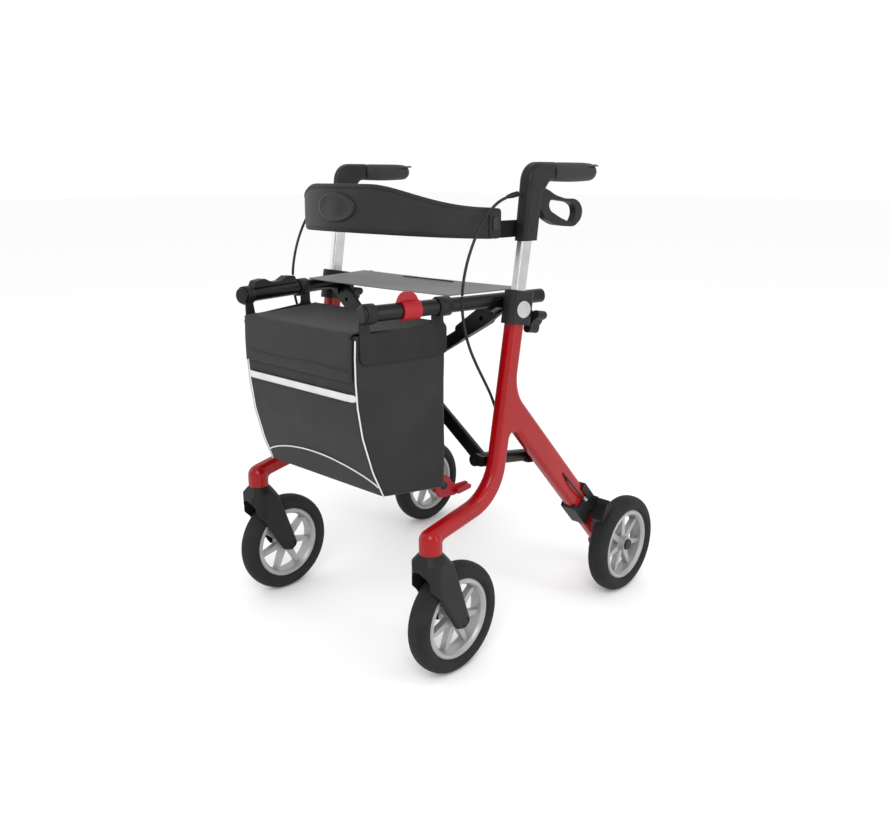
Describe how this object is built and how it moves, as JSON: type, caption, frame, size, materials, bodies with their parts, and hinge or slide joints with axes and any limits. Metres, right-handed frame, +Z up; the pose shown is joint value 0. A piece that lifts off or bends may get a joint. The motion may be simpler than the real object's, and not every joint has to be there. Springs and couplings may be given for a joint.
{
  "type": "rollator walker",
  "caption": "Folding walking aid with scissor-braced side frames, swivelling front wheels, adjustable handles, brakes, sling seat, curved backrest and hanging bag.",
  "frame": {"origin": "on the floor, under the middle of the bounding box", "axes": "+Z up, front faces -Y, +X towards the left side of the person who walks behind it"},
  "size_m": [0.6054, 0.7032, 0.8615],
  "materials": {
    "frame_red": "glossy red lacquer",
    "plastic_black": "fine-grained moulded plastic",
    "plastic_red": "satin moulded plastic",
    "bright_aluminium": "satin anodised",
    "black_tube": "satin black coating",
    "steel_bolt": "brushed",
    "rim_silver": "silver-grey moulded",
    "tyre_rubber": "matt soft rubber",
    "grip_rubber": "soft touch",
    "bag_fabric": "coated woven fabric",
    "seat_fabric": "tight grey weave",
    "backrest_fabric": "padded soft-touch fabric",
    "cable_jacket": "smooth cable jacket"
  },
  "bodies": {
    "left_frame": {"side_frame_left": "frame_red", "height_clamp_left": "plastic_black", "clamp_cap_left": "bright_aluminium", "brake_bracket_left": "plastic_black", "kerb_pedal_left": "plastic_red", "rear_axle_left": "steel_bolt", "pivot_axle_left": "black_tube", "brake_cable_lower_left": "cable_jacket"},
    "right_frame": {"side_frame_right": "frame_red", "height_clamp_right": "plastic_black", "clamp_cap_right": "bright_aluminium", "brake_bracket_right": "plastic_black", "kerb_pedal_right": "plastic_red", "rear_axle_right": "steel_bolt", "pivot_axle_right": "black_tube", "brake_cable_lower_right": "cable_jacket"},
    "height_knob_left": {"height_knob_left": "plastic_black"},
    "handle_left": {"handle_tube_left": "bright_aluminium", "handle_housing_left": "plastic_black", "grip_left": "grip_rubber", "brake_cable_left": "cable_jacket", "backrest_pad": "backrest_fabric", "backrest_straps": "plastic_black"},
    "brake_lever_left": {"brake_lever_left": "plastic_black"},
    "brake_shoe_left": {"brake_shoe_left": "plastic_black"},
    "rear_wheel_left": {"rear_tyre_left": "tyre_rubber", "rear_rim_left": "rim_silver"},
    "caster_left": {"caster_fork_left": "plastic_black", "caster_stem_left": "steel_bolt", "front_axle_left": "steel_bolt"},
    "front_wheel_left": {"front_tyre_left": "tyre_rubber", "front_rim_left": "rim_silver"},
    "height_knob_right": {"height_knob_right": "plastic_black"},
    "handle_right": {"handle_tube_right": "bright_aluminium", "handle_housing_right": "plastic_black", "grip_right": "grip_rubber", "brake_cable_right": "cable_jacket"},
    "brake_lever_right": {"brake_lever_right": "plastic_black"},
    "brake_shoe_right": {"brake_shoe_right": "plastic_black"},
    "rear_wheel_right": {"rear_tyre_right": "tyre_rubber", "rear_rim_right": "rim_silver"},
    "caster_right": {"caster_fork_right": "plastic_black", "caster_stem_right": "steel_bolt", "front_axle_right": "steel_bolt"},
    "front_wheel_right": {"front_tyre_right": "tyre_rubber", "front_rim_right": "rim_silver"},
    "brace_a": {"brace_bar_a": "black_tube", "brace_bracket_a": "black_tube", "seat_rail_right": "black_tube", "rail_saddle": "plastic_black", "brace_pivot_bolt": "steel_bolt"},
    "brace_b": {"brace_bar_b": "black_tube", "brace_bracket_b": "black_tube", "seat_rail_left": "black_tube", "seat_sling": "seat_fabric"},
    "fold_clip": {"fold_clip": "plastic_red"},
    "bag": {"bag_body": "bag_fabric", "bag_hooks": "plastic_black"},
    "bag_lid": {"bag_lid": "bag_fabric"}
  },
  "joints": [
    {"name": "fold", "type": "hinge", "parent": "left_frame", "child": "brace_a", "pos_m": [0.213, -0.10908, 0.35474], "axis": [0, 0.9856, -0.1693], "range_deg": [0, 48], "deforming": ["seat_sling", "bag_body", "bag_hooks", "bag_lid", "backrest_pad", "backrest_straps"]},
    {"name": "fold_cross", "type": "hinge", "parent": "brace_a", "child": "brace_b", "pos_m": [0, -0.0863, 0.4873], "axis": [0, 0.9856, -0.1693], "range_deg": [-96, 0]},
    {"name": "fold_right", "type": "hinge", "parent": "brace_b", "child": "right_frame", "pos_m": [-0.213, -0.10908, 0.35474], "axis": [0, 0.9856, -0.1693], "range_deg": [0, 48]},
    {"name": "bag_hang", "type": "hinge", "parent": "brace_b", "child": "bag", "pos_m": [0.178, -0.236, 0.632], "axis": [0, 0.9856, -0.1693], "range_deg": [0, 48]},
    {"name": "bag_lid_open", "type": "hinge", "parent": "bag", "child": "bag_lid", "pos_m": [0, -0.167, 0.599], "axis": [-1, 0, 0], "range_deg": [0, 45]},
    {"name": "fold_clip_turn", "type": "hinge", "parent": "brace_b", "child": "fold_clip", "pos_m": [0.17467, -0.255, 0.632], "axis": [0.1705, 0.9854, 0], "range_deg": [-35, 0]},
    {"name": "handle_height_left", "type": "slide", "parent": "left_frame", "child": "handle_left", "axis": [0, 0.1693, 0.9856], "range_m": [-0.06, 0.1], "deforming": ["brake_cable_left"]},
    {"name": "height_knob_turn_left", "type": "hinge", "parent": "left_frame", "child": "height_knob_left", "pos_m": [0.24, -0.06431, 0.60486], "axis": [0, 0.9856, -0.1693], "continuous": true},
    {"name": "brake_squeeze_left", "type": "hinge", "parent": "handle_left", "child": "brake_lever_left", "pos_m": [0.24, -0.022, 0.804], "axis": [1, 0, 0], "range_deg": [0, 12], "stiffness_Nm_per_rad": 3},
    {"name": "brake_shoe_press_left", "type": "hinge", "parent": "left_frame", "child": "brake_shoe_left", "pos_m": [0.24, 0.19096, 0.20453], "axis": [1, 0, 0], "range_deg": [0, 2.4]},
    {"name": "rear_wheel_spin_left", "type": "hinge", "parent": "left_frame", "child": "rear_wheel_left", "pos_m": [0.2822, 0.252, 0.1], "axis": [1, 0, 0], "continuous": true},
    {"name": "caster_swivel_left", "type": "hinge", "parent": "left_frame", "child": "caster_left", "pos_m": [0.24, -0.2744, 0.238], "axis": [0, 0, 1], "continuous": true},
    {"name": "front_wheel_spin_left", "type": "hinge", "parent": "caster_left", "child": "front_wheel_left", "pos_m": [0.24, -0.2193, 0.1], "axis": [1, 0, 0], "continuous": true},
    {"name": "handle_height_right", "type": "slide", "parent": "right_frame", "child": "handle_right", "axis": [0, 0.1693, 0.9856], "range_m": [-0.06, 0.1], "deforming": ["brake_cable_right"]},
    {"name": "height_knob_turn_right", "type": "hinge", "parent": "right_frame", "child": "height_knob_right", "pos_m": [-0.24, -0.06431, 0.60486], "axis": [0, 0.9856, -0.1693], "continuous": true},
    {"name": "brake_squeeze_right", "type": "hinge", "parent": "handle_right", "child": "brake_lever_right", "pos_m": [-0.24, -0.022, 0.804], "axis": [1, 0, 0], "range_deg": [0, 12], "stiffness_Nm_per_rad": 3},
    {"name": "brake_shoe_press_right", "type": "hinge", "parent": "right_frame", "child": "brake_shoe_right", "pos_m": [-0.24, 0.19096, 0.20453], "axis": [1, 0, 0], "range_deg": [0, 2.4]},
    {"name": "rear_wheel_spin_right", "type": "hinge", "parent": "right_frame", "child": "rear_wheel_right", "pos_m": [-0.2822, 0.252, 0.1], "axis": [1, 0, 0], "continuous": true},
    {"name": "caster_swivel_right", "type": "hinge", "parent": "right_frame", "child": "caster_right", "pos_m": [-0.24, -0.2744, 0.238], "axis": [0, 0, 1], "continuous": true},
    {"name": "front_wheel_spin_right", "type": "hinge", "parent": "caster_right", "child": "front_wheel_right", "pos_m": [-0.24, -0.2193, 0.1], "axis": [1, 0, 0], "continuous": true}
  ],
  "couplings": [
    {"joint": "fold_cross", "follows": "fold", "ratio": -2},
    {"joint": "fold_right", "follows": "fold", "ratio": 1},
    {"joint": "bag_hang", "follows": "fold", "ratio": 1},
    {"joint": "handle_height_right", "follows": "handle_height_left", "ratio": 1},
    {"joint": "brake_shoe_press_left", "follows": "brake_squeeze_left", "ratio": 0.2},
    {"joint": "brake_shoe_press_right", "follows": "brake_squeeze_right", "ratio": 0.2}
  ]
}
